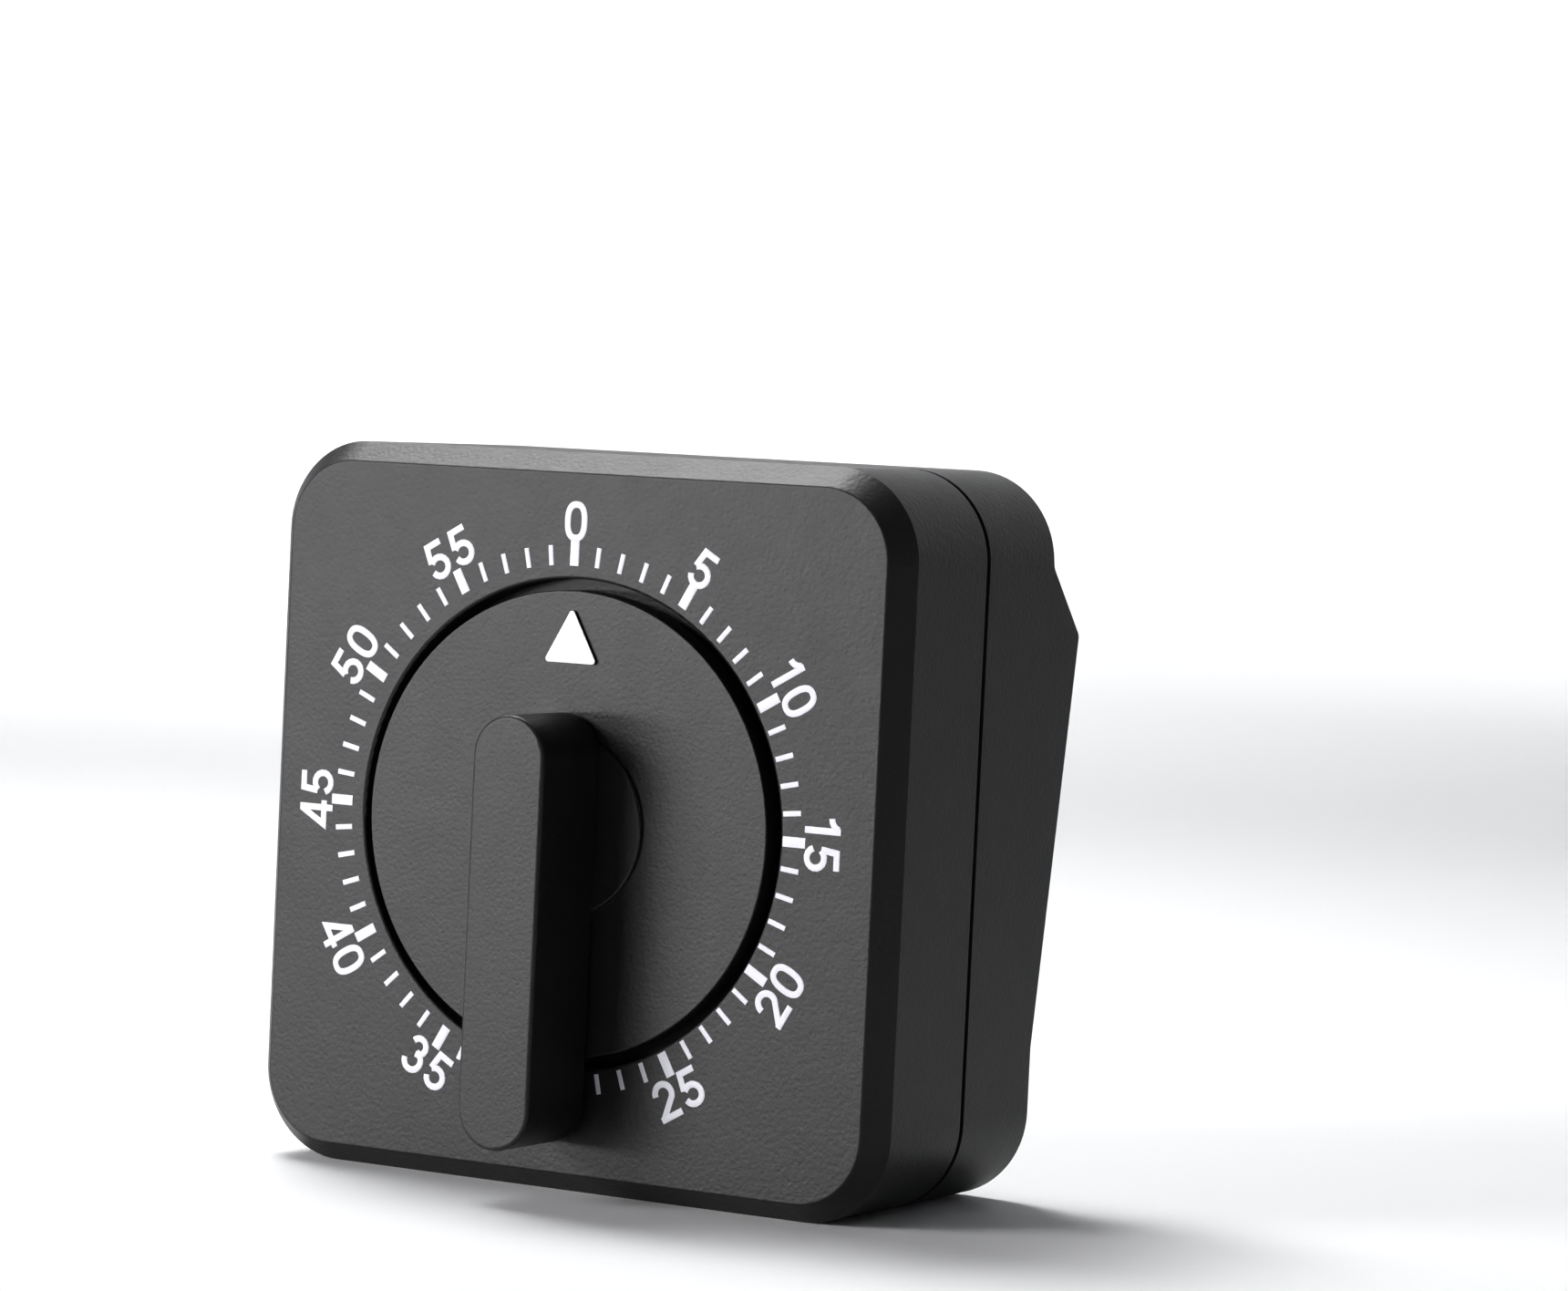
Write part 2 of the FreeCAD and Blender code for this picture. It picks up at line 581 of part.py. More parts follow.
def click_spring():
    """A springy steel click, riveted to the great wheel, with its nose behind a ratchet tooth."""
    tooth = 2 * math.pi / RATCHET_TEETH
    outline = [polar(12.0, math.radians(-33)), polar(12.0, math.radians(-12)), polar(9.4, math.radians(2)),
               polar(6.6, tooth - 0.06), polar(5.4, tooth - 0.03), polar(6.2, tooth - 0.24),
               polar(8.4, math.radians(-6)), polar(9.8, math.radians(-33))]
    return slab(outline, *CLICK_LAYER).cut([through(c, PIN_RADIUS, CLICK_LAYER) for c in click_rivet_points()])


def click_rivets():
    rivets = []
    for centre in click_rivet_points():
        shank = rod(centre, PIN_RADIUS, GREAT_LAYER[0], CLICK_LAYER[1])
        rivets.append(shank.fuse(rod(centre, 1.0, CLICK_LAYER[1], CLICK_LAYER[1] + 0.4)))
    return Part.makeCompound(rivets)


def zero_cam():
    """A disc with one notch, which faces down at zero."""
    half, flare, floor = 1.0, 0.8, CAM_RADIUS - NOTCH_DEPTH
    notch = [(-half, -floor), (half, -floor), (half + flare, -CAM_RADIUS - CLEAR),
             (-half - flare, -CAM_RADIUS - CLEAR)]
    return ring((0, 0), CAM_RADIUS, MAIN_RADIUS, *CAM_LAYER).cut(slab(notch, *CAM_LAYER))


def arbor_clip():
    """An open retaining ring behind the ratchet wheel."""
    radius, gap = 3.4, 0.9
    opening = slab(box_outline(gap, 0, radius + CLEAR), *CLIP_LAYER)
    return ring((0, 0), radius, MAIN_RADIUS, *CLIP_LAYER).cut(opening)


# Frame of the movement -----------------------------------------------------------------------------------

def pivots():
    return [SECOND_AT, THIRD_AT, FOURTH_AT, ESCAPE_AT, ANCHOR_AT]


def movement_plate(start, holes):
    """A square plate with round holes, given as (centre, radius)."""
    layer = start, start + PLATE_THICK
    blank = square_block(PLATE_WIDTH / 2, PLATE_CORNER, *layer)
    return blank.cut([through(centre, radius, layer) for centre, radius in holes])


def front_plate():
    holes = [(c, PIVOT_RADIUS + RUN) for c in pivots() + [HAMMER_AT]]
    holes += [(c, PILLAR_FOOT) for c in plate_corners()]
    holes += [(c, MOVEMENT_SCREW[0] + 0.22) for c in MOVEMENT_SCREWS]
    holes += [((0, 0), MAIN_RADIUS + RUN), (LEVER_POST, POST_FOOT)]
    return movement_plate(PLATE_FRONT, holes)


def rear_plate():
    holes = [(c, PIVOT_RADIUS + RUN) for c in pivots()]
    holes += [(c, PILLAR_SCREW[0] + 0.07) for c in plate_corners()]
    holes += [((0, 0), MAIN_PIVOT + RUN), (HAMMER_AT, ARBOR_RADIUS + RUN)]
    holes += [(BELL_AT, BELL_FOOT), (SPRING_POST, PIN_RADIUS)]
    return movement_plate(PLATE_REAR, holes)


def plate_pillars():
    """Four posts between the plates, riveted into the front one and tapped for screws behind."""
    thread = PILLAR_SCREW[0] + THREAD_GAP
    pillars = []
    for centre in plate_corners():
        post = rod(centre, PILLAR_RADIUS, PLATE_FRONT + PLATE_THICK, PLATE_REAR)
        post = post.fuse(rod(centre, PILLAR_FOOT, PLATE_FRONT, PLATE_FRONT + PLATE_THICK))
        pillars.append(post.cut(rod(centre, thread, PLATE_REAR - PILLAR_THREAD - CLEAR, PLATE_REAR)))
    return Part.makeCompound(pillars)


def pillar_screws():
    tip, seat = PLATE_REAR - PILLAR_THREAD, PLATE_REAR + PLATE_THICK
    return Part.makeCompound([screw(c, tip, seat, PILLAR_SCREW) for c in plate_corners()])


def movement_screws():
    seat = PLATE_FRONT + PLATE_THICK
    return Part.makeCompound([screw(c, RECESS_DEPTH + 1.2, seat, MOVEMENT_SCREW) for c in MOVEMENT_SCREWS])


# Mainspring and small springs ----------------------------------------------------------------------------

def mainspring():
    """A flat strip wound in half turns around two centres, so that it opens by one pitch each turn."""
    strip, pitch, half_turns, first = 0.35, 1.05, 14, 3.1
    shift = pitch / 4
    sides = []
    for offset in (0.0, strip):
        arcs = []
        for k in range(half_turns):
            centre = (shift if k % 2 else -shift, 0.0)
            radius = first + offset + 2 * shift * k
            begin = math.pi * k
            points = [polar(radius, begin + math.pi * part, centre) for part in (0.0, 0.5, 1.0)]
            arcs.append([at(x, MAINSPRING_LAYER[0], z) for x, z in points])
        sides.append(arcs)
    inner, outer = sides
    edges = [Part.Arc(*points).toShape() for points in inner]
    edges.append(Part.makeLine(inner[-1][2], outer[-1][2]))
    edges += [Part.Arc(*reversed(points)).toShape() for points in reversed(outer)]
    edges.append(Part.makeLine(outer[0][0], inner[0][0]))
    return Part.Face(Part.Wire(edges)).extrude(Y_AXIS * (MAINSPRING_LAYER[1] - MAINSPRING_LAYER[0]))


def spring_post():
    """A post that stands on the rear plate only, because the great wheel turns in front of it."""
    post = rod(SPRING_POST, 1.0, MAINSPRING_LAYER[0] - 0.2, PLATE_REAR)
    return post.fuse(rod(SPRING_POST, PIN_RADIUS, PLATE_REAR - CLEAR, PLATE_REAR + PLATE_THICK))


def coil_spring(centre, start, turns):
    pitch = COIL_WIRE * 1.35
    helix = Part.makeHelix(pitch, pitch * turns, COIL_RADIUS)
    profile = Part.Wire([Part.Circle(FreeCAD.Vector(COIL_RADIUS, 0, 0), Y_AXIS, COIL_WIRE / 2).toShape()])
    coil = Part.Wire(helix.Edges).makePipeShell([profile], True, True)
    coil.rotate(FreeCAD.Vector(0, 0, 0), FreeCAD.Vector(1, 0, 0), -90)
    coil.translate(at(centre[0], start, centre[1]))
    return coil


# Release lever, hammer and bell --------------------------------------------------------------------------

def release_lever():
    """A bent lever whose nose drops into the zero cam's notch."""
    x, z = LEVER_KNEE
    nose_tip = -CAM_RADIUS - 0.12
    nose = slab([(x - 1.4, z), (x + 1.4, z), (x + 0.5, nose_tip), (x - 0.5, nose_tip)], *CAM_LAYER)
    arms = [link(*ends, LEVER_WIDTH, *CAM_LAYER) for ends in ((LEVER_POST, LEVER_KNEE), (LEVER_KNEE, LEVER_END))]
    lever = rod(LEVER_POST, 2.2, *CAM_LAYER).fuse(arms + [nose])
    return lever.removeSplitter().cut(through(LEVER_POST, LEVER_POST_RADIUS + RUN, CAM_LAYER))


def lever_post():
    foot = rod(LEVER_POST, POST_FOOT, PLATE_FRONT, PLATE_FRONT + PLATE_THICK + 0.1)
    cap = rod(LEVER_POST, LEVER_POST_RADIUS + 0.5, LEVER_POST_END, LEVER_POST_END + 0.5)
    return rod(LEVER_POST, LEVER_POST_RADIUS, PLATE_FRONT + PLATE_THICK, LEVER_POST_END).fuse([foot, cap])


def lever_spring():
    return coil_spring(LEVER_POST, COIL_START, LEVER_COILS)


def pallet_point(side):
    """Where a pallet pin stands: outside the escape wheel's tips by its own swing and a little more."""
    spread = math.radians(45)
    arm = 5.4
    clear = ESCAPE_TIP + PALLET_RADIUS + arm * ANCHOR_SWING + 0.06
    return polar(clear, TO_ANCHOR + side * spread, ESCAPE_AT)


def anchor():
    arms = [link(ANCHOR_AT, pallet_point(side), 1.5, *ANCHOR_LAYER) for side in (-1, 1)]
    plate = arms[0].fuse([arms[1], rod(ANCHOR_AT, 1.7, *ANCHOR_LAYER)]).removeSplitter()
    pins = [through(pallet_point(side), PALLET_RADIUS, ANCHOR_LAYER) for side in (-1, 1)]
    return plate.cut(pins + [through(ANCHOR_AT, ARBOR_RADIUS, ANCHOR_LAYER)])


def pallet_pins():
    """Two pins that reach from the anchor across the escape wheel's layer."""
    span = ESCAPE_LAYER[0] - 0.3, ANCHOR_LAYER[1]
    return Part.makeCompound([rod(pallet_point(side), PALLET_RADIUS, *span) for side in (-1, 1)])


def anchor_arbor():
    return arbor(ANCHOR_AT)


def inertia_bar():
    """A small dumb-bell on the anchor's arbor that slows its beat."""
    across = TO_ANCHOR + math.pi / 2
    thicker = INERTIA_LAYER[0] - 0.2, INERTIA_LAYER[1] + 0.4
    ends = [polar(3.0 * side, across, ANCHOR_AT) for side in (-1, 1)]
    weights = [rod(end, 1.2, *thicker) for end in ends]
    bar = link(*ends, 1.4, *INERTIA_LAYER).fuse(weights + [rod(ANCHOR_AT, 1.5, *thicker)])
    return bar.cut(through(ANCHOR_AT, ARBOR_RADIUS, thicker))


def hammer_arm():
    arm = link(HAMMER_AT, HEAD_AT, 2.0, *HAMMER_LAYER).fuse(rod(HAMMER_AT, 1.9, *HAMMER_LAYER))
    holes = [through(HAMMER_AT, ARBOR_RADIUS, HAMMER_LAYER), through(HEAD_AT, POST_FOOT, HAMMER_LAYER)]
    return arm.removeSplitter().cut(holes)


def hammer_head():
    head = rod(HEAD_AT, HAMMER_HEAD, HAMMER_LAYER[1], HAMMER_LAYER[1] + 3.6)
    head = head.makeFillet(0.5, [e for e in head.Edges if e.BoundBox.YLength < 1e-3])
    return head.fuse(rod(HEAD_AT, POST_FOOT, HAMMER_LAYER[0], HAMMER_LAYER[1] + CLEAR))


def hammer_arbor():
    shoulder = PLATE_FRONT + PLATE_THICK + END_PLAY
    front = rod(HAMMER_AT, PIVOT_RADIUS, PLATE_FRONT + 0.1, shoulder + 0.1)
    return front.fuse(rod(HAMMER_AT, ARBOR_RADIUS, shoulder, HAMMER_LAYER[1]))


def hammer_spring():
    return coil_spring(HAMMER_AT, COIL_START, HAMMER_COILS)


def bell():
    """A pressed gong: a flat crown, a round shoulder and a short skirt, open towards the movement."""
    x, z = BELL_AT
    shoulder = BELL_SHOULDER
    lean = math.sqrt(0.5)
    turn = BELL_RADIUS - shoulder, BELL_CROWN - shoulder

    def point(radius, depth):
        return at(x + radius, depth, z)

    def quarter(radius):
        middle = point(turn[0] + radius * lean, turn[1] + radius * lean)
        return Part.Arc(point(turn[0] + radius, turn[1]), middle, point(turn[0], turn[1] + radius)).toShape()

    inside = shoulder - BELL_THICK
    hole = BELL_SCREW[0] + 0.07
    rim, crown = BELL_RADIUS - BELL_THICK, BELL_CROWN - BELL_THICK
    edges = [Part.makeLine(point(BELL_RADIUS, BELL_RIM), point(BELL_RADIUS, turn[1])), quarter(shoulder),
             Part.makeLine(point(turn[0], BELL_CROWN), point(hole, BELL_CROWN)),
             Part.makeLine(point(hole, BELL_CROWN), point(hole, crown)),
             Part.makeLine(point(hole, crown), point(turn[0], crown)), quarter(inside),
             Part.makeLine(point(rim, turn[1]), point(rim, BELL_RIM)),
             Part.makeLine(point(rim, BELL_RIM), point(BELL_RADIUS, BELL_RIM))]
    section = Part.Face(Part.Wire(Part.sortEdges(edges)[0]))
    return section.revolve(at(x, 0, z), Y_AXIS, 360)


def bell_post():
    foot = rod(BELL_AT, BELL_FOOT, PLATE_REAR, PLATE_REAR + PLATE_THICK)
    post = rod(BELL_AT, BELL_POST, PLATE_REAR + PLATE_THICK, BELL_CROWN - BELL_THICK).fuse(foot)
    return post.cut(rod(BELL_AT, BELL_SCREW[0] + THREAD_GAP, BELL_RIM, BELL_CROWN))


def bell_screw():
    return screw(BELL_AT, BELL_RIM + 0.5, BELL_CROWN, BELL_SCREW)


PIECES = [front_cover, rear_cover, case_screws, dial_disc, grip_bar, pointer_triangle, knob_clip, main_arbor,
          front_plate, rear_plate, plate_pillars, pillar_screws, movement_screws, mainspring, spring_post,
          great_wheel, ratchet_wheel, click_spring, click_rivets, zero_cam, arbor_clip, second_wheel,
          second_pinion, third_wheel, third_pinion, fourth_wheel, fourth_pinion, escape_wheel, escape_pinion,
          anchor, pallet_pins, anchor_arbor, inertia_bar, release_lever, lever_post, lever_spring, hammer_arm,
          hammer_head, hammer_arbor, hammer_spring, bell, bell_post, bell_screw]

os.makedirs("parts", exist_ok=True)
for make in PIECES:
    piece = make()
    solids = piece.Solids
    if not solids or not all(solid.isValid() for solid in solids):
        raise ValueError(f"{make.__name__} isn't a valid solid")
    shape = solids[0] if len(solids) == 1 else Part.makeCompound(solids)
    shape.exportStep(f"parts/{make.__name__}.step")
    print(f"{make.__name__}: {len(solids)} solid(s), {shape.Volume:.1f} mm3")
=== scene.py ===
import math

import bmesh
import bpy
from mathutils import Matrix, Vector


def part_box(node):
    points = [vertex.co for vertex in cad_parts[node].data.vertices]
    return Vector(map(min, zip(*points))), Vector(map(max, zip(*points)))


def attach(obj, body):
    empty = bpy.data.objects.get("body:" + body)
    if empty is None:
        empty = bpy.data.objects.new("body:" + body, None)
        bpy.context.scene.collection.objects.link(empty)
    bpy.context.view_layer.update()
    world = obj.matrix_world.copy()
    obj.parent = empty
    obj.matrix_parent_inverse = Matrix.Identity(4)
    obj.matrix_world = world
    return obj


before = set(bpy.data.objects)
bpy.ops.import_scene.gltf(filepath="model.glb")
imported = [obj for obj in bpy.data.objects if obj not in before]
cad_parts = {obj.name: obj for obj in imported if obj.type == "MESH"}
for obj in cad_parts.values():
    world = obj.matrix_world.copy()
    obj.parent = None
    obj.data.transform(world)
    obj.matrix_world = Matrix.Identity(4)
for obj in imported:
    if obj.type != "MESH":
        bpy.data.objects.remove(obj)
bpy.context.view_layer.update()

MM = 0.001
PATCH_SIZE = 14.0               # the plastic's broad, faint unevenness, in millimetres

# Places that come from the frame
CASE_LOW, CASE_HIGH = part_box("front_cover")
DISC_LOW, DISC_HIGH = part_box("dial_disc")
FACE_Y = CASE_LOW.y
DIAL_AXIS = Vector(((DISC_LOW.x + DISC_HIGH.x) / 2, 0, (DISC_LOW.z + DISC_HIGH.z) / 2))

# Printed scale, in millimetres from its centre
PRINT_SHIFT = (-0.6, 0.3)       # the printing sits slightly off the dial's axis
MINUTES = 60
TICK_INNER = 24.1
TICK_OUTER = 26.0
TICK_WIDTH = 0.5
LONG_TICK_INNER = 24.05
LONG_TICK_OUTER = 26.45
LONG_TICK_WIDTH = 0.98
DIGIT_WIDTH = 2.5
DIGIT_HEIGHT = 3.8
DIGIT_STROKE = 0.64
DIGIT_PITCH = 3.0
ONE_INSET = 0.45                # a 1 starts this far in, since it is narrower than the other digits
DIGIT_MIDDLE = 28.25            # radius of the numerals' middle line
THIRTY_INSET = 0.6              # the 30 sits this much nearer, since none of it shows past the grip
INK = 0.03                      # height of the ink
INK_EDGE = 0.07                 # width of its rounded shoulder
INK_STEP = 0.0015               # each further stroke of a digit lies this much higher
READ_FROM_INSIDE = (20, 25, 30, 35, 40)

# Camera and stage, in metres and degrees
AIM = DIAL_AXIS + Vector((0.0226, FACE_Y, 0.01832))
AZIMUTH, ELEVATION, ROLL = 30.02, 2.62, -2.72
DISTANCE = 0.4943
LENS = 123.3
BOWL_RADIUS = 1.9
BOWL_CURVE = 1.1
BOWL_HEIGHT = 2.2


# Materials -----------------------------------------------------------------------------------------------

class Nodes:
    """A material's node tree, with short calls for the nodes that the finishes share."""

    def __init__(self, name):
        self.material = bpy.data.materials.new(name)
        self.material.use_nodes = True
        self.tree = self.material.node_tree
        self.tree.nodes.clear()
        self.shader = self.tree.nodes.new("ShaderNodeBsdfPrincipled")
        output = self.tree.nodes.new("ShaderNodeOutputMaterial")
        self.join(self.shader.outputs["BSDF"], output.inputs["Surface"])
        self.place = self.tree.nodes.new("ShaderNodeTexCoord").outputs["Object"]

    def join(self, source, target):
        self.tree.links.new(source, target)

    def millimetres(self, stretch=(1, 1, 1)):
        """The place on the object in millimetres, squeezed along each axis by a factor."""
        mapping = self.tree.nodes.new("ShaderNodeMapping")
        mapping.inputs["Scale"].default_value = [factor / MM for factor in stretch]
        self.join(self.place, mapping.inputs["Vector"])
        return mapping.outputs["Vector"]

    def noise(self, place, size, detail=2.0, rough=0.5):
        """Noise whose features are about this many millimetres across."""
        node = self.tree.nodes.new("ShaderNodeTexNoise")
        node.inputs["Scale"].default_value = 1 / size
        node.inputs["Detail"].default_value = detail
        node.inputs["Roughness"].default_value = rough
        self.join(place, node.inputs["Vector"])
        return node.outputs["Fac"]

    def cells(self, place, size):
        node = self.tree.nodes.new("ShaderNodeTexVoronoi")
        node.inputs["Scale"].default_value = 1 / size
        self.join(place, node.inputs["Vector"])
        return node.outputs["Distance"]

    def spread(self, value, low, high, to_low, to_high):
        """The value carried from one range to another, held at its ends."""
        node = self.tree.nodes.new("ShaderNodeMapRange")
        settings = {"From Min": low, "From Max": high, "To Min": to_low, "To Max": to_high}
        for name, number in settings.items():
            node.inputs[name].default_value = number
        self.join(value, node.inputs["Value"])
        return node.outputs["Result"]

    def combine(self, first, second, operation="ADD"):
        node = self.tree.nodes.new("ShaderNodeMath")
        node.operation = operation
        self.join(first, node.inputs[0])
        self.join(second, node.inputs[1])
        return node.outputs["Value"]

    def mix(self, amount, first, second):
        """A colour between two colours."""
        node = self.tree.nodes.new("ShaderNodeMix")
        node.data_type = "RGBA"
        self.join(amount, node.inputs["Factor"])
        sockets = [s for s in node.inputs if s.type == "RGBA"]
        for socket, colour in zip(sockets, (first, second)):
            if isinstance(colour, bpy.types.NodeSocket):
                self.join(colour, socket)
            else:
                socket.default_value = (*colour, 1.0)
        return next(s for s in node.outputs if s.type == "RGBA")

    def edges(self, radius):
        """A mask of the sharp edges: 0 on the flats, 1 at an edge, for a rounding of this many metres."""
        rounded = self.tree.nodes.new("ShaderNodeBevel")
        rounded.samples = 4
        rounded.inputs["Radius"].default_value = radius
        plain = self.tree.nodes.new("ShaderNodeNewGeometry")
        dot = self.tree.nodes.new("ShaderNodeVectorMath")
        dot.operation = "DOT_PRODUCT"
        self.join(rounded.outputs["Normal"], dot.inputs[0])
        self.join(plain.outputs["Normal"], dot.inputs[1])
        return self.spread(dot.outputs["Value"], 0.995, 0.85, 0.0, 1.0)

    def bump(self, height, depth, under=None):
        """Relief from a height of 0 to 1 that is this many metres deep."""
        node = self.tree.nodes.new("ShaderNodeBump")
        node.inputs["Distance"].default_value = depth
        self.join(height, node.inputs["Height"])
        if under is not None:
            self.join(under, node.inputs["Normal"])
        return node.outputs["Normal"]


def moulded(name, colour, worn, roughness, grain, relief):
    """Moulded plastic with a fine spark-eroded texture, and edges that handling has polished."""
    n = Nodes(name)
    place = n.millimetres()
    fine = n.noise(place, grain, 3.0, 0.6)
    pits = n.cells(place, grain * 1.7)
    broad = n.noise(place, PATCH_SIZE, 3.0)
    smudge = n.noise(place, 3.5, 4.0, 0.65)
    edge = n.combine(n.edges(0.35 * MM), n.spread(smudge, 0.35, 0.65, 0.35, 1.0), "MULTIPLY")
    darker = [c * 0.94 for c in colour]
    lighter = [c * 1.06 for c in colour]
    patch = n.mix(n.spread(broad, 0.35, 0.65, 0.0, 1.0), darker, lighter)
    speck = n.mix(n.spread(fine, 0.62, 0.80, 0.0, 1.0), patch, [c * 1.7 for c in colour])
    n.join(n.mix(edge, speck, worn), n.shader.inputs["Base Color"])
    uneven = n.spread(smudge, 0.25, 0.75, roughness - 0.02, roughness + 0.02)
    polish = n.spread(edge, 0.0, 1.0, 0.0, 0.12)
    n.join(n.combine(uneven, polish, "SUBTRACT"), n.shader.inputs["Roughness"])
    skin = n.bump(n.spread(pits, 0.0, 0.6, 0.0, 1.0), relief * 0.5)
    n.join(n.bump(fine, relief, skin), n.shader.inputs["Normal"])
    n.shader.inputs["IOR"].default_value = 1.5
    n.shader.inputs["Specular IOR Level"].default_value = 0.38
    return n.material


def stamped(name, foil, side, roughness, relief):
    """White foil on the front of a raised mark; its sides, the faces that look elsewhere, are coloured
    near-black by the way they face.
    """
    n = Nodes(name)
    place = n.millimetres()
    film = n.noise(place, 0.35, 2.0)
    facing = n.tree.nodes.new("ShaderNodeSeparateXYZ")
    n.join(n.tree.nodes.new("ShaderNodeTexCoord").outputs["Normal"], facing.inputs["Vector"])
    front = n.spread(facing.outputs["Y"], -0.55, -0.75, 0.0, 1.0)
    white = n.mix(film, [c * 0.97 for c in foil], foil)
    n.join(n.mix(front, side, white), n.shader.inputs["Base Color"])
    n.join(n.spread(film, 0.3, 0.7, roughness - 0.03, roughness + 0.03), n.shader.inputs["Roughness"])
    n.join(n.bump(film, relief), n.shader.inputs["Normal"])
    return n.material


def painted(name, colour, roughness, relief):
    """Printed ink: a smooth film with faint unevenness and thinner patches."""
    n = Nodes(name)
    place = n.millimetres()
    film = n.noise(place, 0.35, 2.0)
    thin = n.noise(place, 1.6, 3.0)
    tone = n.mix(n.spread(thin, 0.3, 0.62, 0.0, 1.0), [c * 0.96 for c in colour], colour)
    n.join(tone, n.shader.inputs["Base Color"])
    n.join(n.spread(film, 0.3, 0.7, roughness - 0.03, roughness + 0.03), n.shader.inputs["Roughness"])
    n.join(n.bump(film, relief), n.shader.inputs["Normal"])
    return n.material


def metal(name, colour, tarnish, roughness, stretch, relief):
    """Metal with fine tool marks along one direction, tarnish in patches and bright edges."""
    n = Nodes(name)
    marks = n.noise(n.millimetres(stretch), 0.12, 3.0, 0.7)
    patches = n.noise(n.millimetres(), 2.4, 4.0, 0.6)
    edge = n.edges(0.12 * MM)
    tone = n.mix(n.spread(patches, 0.42, 0.85, 0.0, 0.6), colour, tarnish)
    n.join(n.mix(edge, tone, [min(1.0, c * 1.15) for c in colour]), n.shader.inputs["Base Color"])
    worked = n.spread(marks, 0.3, 0.7, roughness - 0.07, roughness + 0.07)
    n.join(n.combine(worked, n.spread(patches, 0.4, 0.85, 0.0, 0.06)), n.shader.inputs["Roughness"])
    n.join(n.bump(marks, relief), n.shader.inputs["Normal"])
    n.shader.inputs["Metallic"].default_value = 1.0
    return n.material


def acetal(name, colour):
    """Pale machined-looking acetal that glows a little from within."""
    n = Nodes(name)
    place = n.millimetres()
    grain = n.noise(place, 0.5, 3.0)
    n.join(n.mix(grain, [c * 0.93 for c in colour], colour), n.shader.inputs["Base Color"])
    n.join(n.spread(grain, 0.3, 0.7, 0.34, 0.46), n.shader.inputs["Roughness"])
    n.join(n.bump(grain, 0.004 * MM), n.shader.inputs["Normal"])
    n.shader.inputs["Subsurface Weight"].default_value = 0.2
    n.shader.inputs["Subsurface Radius"].default_value = (0.8 * MM, 0.7 * MM, 0.6 * MM)
    n.shader.inputs["Subsurface Scale"].default_value = 1.0
    return n.material


def paper(name, colour):
    """The stage's plain matt surface."""
    n = Nodes(name)
    grain = n.noise(n.millimetres(), 1.5, 3.0)
    n.join(n.mix(grain, [c * 0.985 for c in colour], colour), n.shader.inputs["Base Color"])
    n.join(n.bump(grain, 0.01 * MM), n.shader.inputs["Normal"])
    n.shader.inputs["Roughness"].default_value = 0.75
    n.shader.inputs["Specular IOR Level"].default_value = 0.2
    return n.material


FINISHES = {
    "case_black": moulded("case_black_plastic", (0.0125, 0.0120, 0.0130), (0.026, 0.025, 0.027),
                          0.46, 0.34, 0.026 * MM),
    "dial_black": moulded("dial_black_plastic", (0.0125, 0.0120, 0.0125), (0.026, 0.025, 0.026),
                          0.45, 0.30, 0.024 * MM),
    "pointer_white": stamped("pointer_white_foil", (0.80, 0.80, 0.82), (0.02, 0.02, 0.021),
                             0.36, 0.003 * MM),
    "plated_steel": metal("zinc_plated_steel", (0.62, 0.63, 0.65), (0.50, 0.50, 0.49),
                          0.30, (1, 1, 0.12), 0.002 * MM),
    "screw_steel": metal("nickelled_screws", (0.58, 0.57, 0.55), (0.40, 0.39, 0.37),
                         0.26, (1, 0.3, 1), 0.002 * MM),
    "spring_steel": metal("blued_spring_steel", (0.36, 0.38, 0.43), (0.26, 0.24, 0.23),
                          0.28, (1, 0.2, 1), 0.001 * MM),
    "bell_steel": metal("bright_bell_steel", (0.66, 0.66, 0.67), (0.55, 0.54, 0.52),
                        0.20, (1, 1, 1), 0.001 * MM),
    "brass": metal("stamped_brass", (0.72, 0.52, 0.23), (0.52, 0.36, 0.16),
                   0.28, (0.15, 1, 1), 0.002 * MM),
    "cam_acetal": acetal("acetal_cam", (0.78, 0.77, 0.72)),
}


def finish_nodes():
    """Each CAD node gets the detailed finish of the slot that it was packed with."""
    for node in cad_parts.values():
        for material_slot in node.material_slots:
            material_slot.material = FINISHES[material_slot.material.name.split(".")[0]]


# Printed scale -------------------------------------------------------------------------------------------

def arc(centre, radii, start, end, steps=14):
    """Points along an ellipse, with angles in degrees anticlockwise from the right."""
    angles = [math.radians(start + (end - start) * k / steps) for k in range(steps + 1)]
    return [(centre[0] + radii[0] * math.cos(a), centre[1] + radii[1] * math.sin(a)) for a in angles]


def oval(centre, radii, squareness=2.5, steps=36):
    """A closed line, a little squarer than an ellipse."""
    points = []
    for k in range(steps):
        angle = 2 * math.pi * k / steps
        across, up = math.cos(angle), math.sin(angle)
        points.append((centre[0] + radii[0] * math.copysign(abs(across) ** (2 / squareness), across),
                       centre[1] + radii[1] * math.copysign(abs(up) ** (2 / squareness), up)))
    return points


